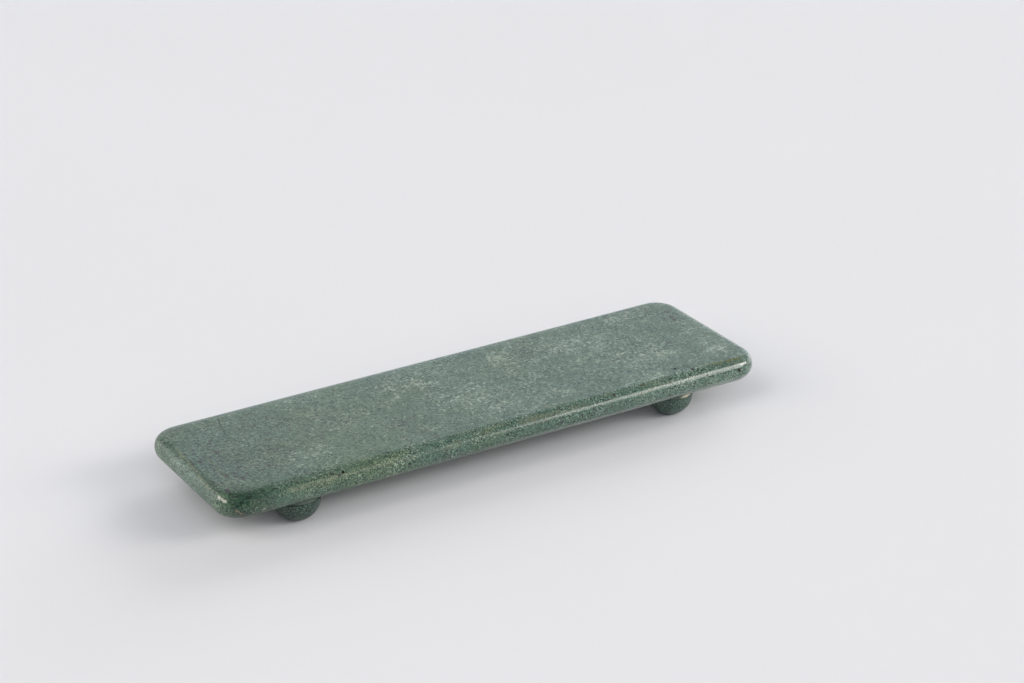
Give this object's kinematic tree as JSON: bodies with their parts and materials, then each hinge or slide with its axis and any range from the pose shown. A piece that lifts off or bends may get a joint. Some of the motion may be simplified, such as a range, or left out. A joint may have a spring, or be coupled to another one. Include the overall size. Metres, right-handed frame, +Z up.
{
  "type": "marble tray",
  "caption": "Long rounded green marble slab with a hand-ground round rim, standing on bonded half-ball feet with finger room underneath.",
  "frame": {"origin": "on the table, under the middle of the slab", "axes": "+X along the tray, +Y across it away from the pictured long side, +Z up"},
  "size_m": [0.4, 0.118, 0.034],
  "materials": {
    "polished_marble": "satin",
    "foot_marble": "satin",
    "stone_adhesive": "matte"
  },
  "bodies": {
    "root": {"tray_slab": "polished_marble", "foot_front_left": "foot_marble", "foot_front_right": "foot_marble", "foot_back_left": "foot_marble", "foot_back_right": "foot_marble", "bond_front_left": "stone_adhesive", "bond_front_right": "stone_adhesive", "bond_back_left": "stone_adhesive", "bond_back_right": "stone_adhesive"}
  },
  "joints": []
}
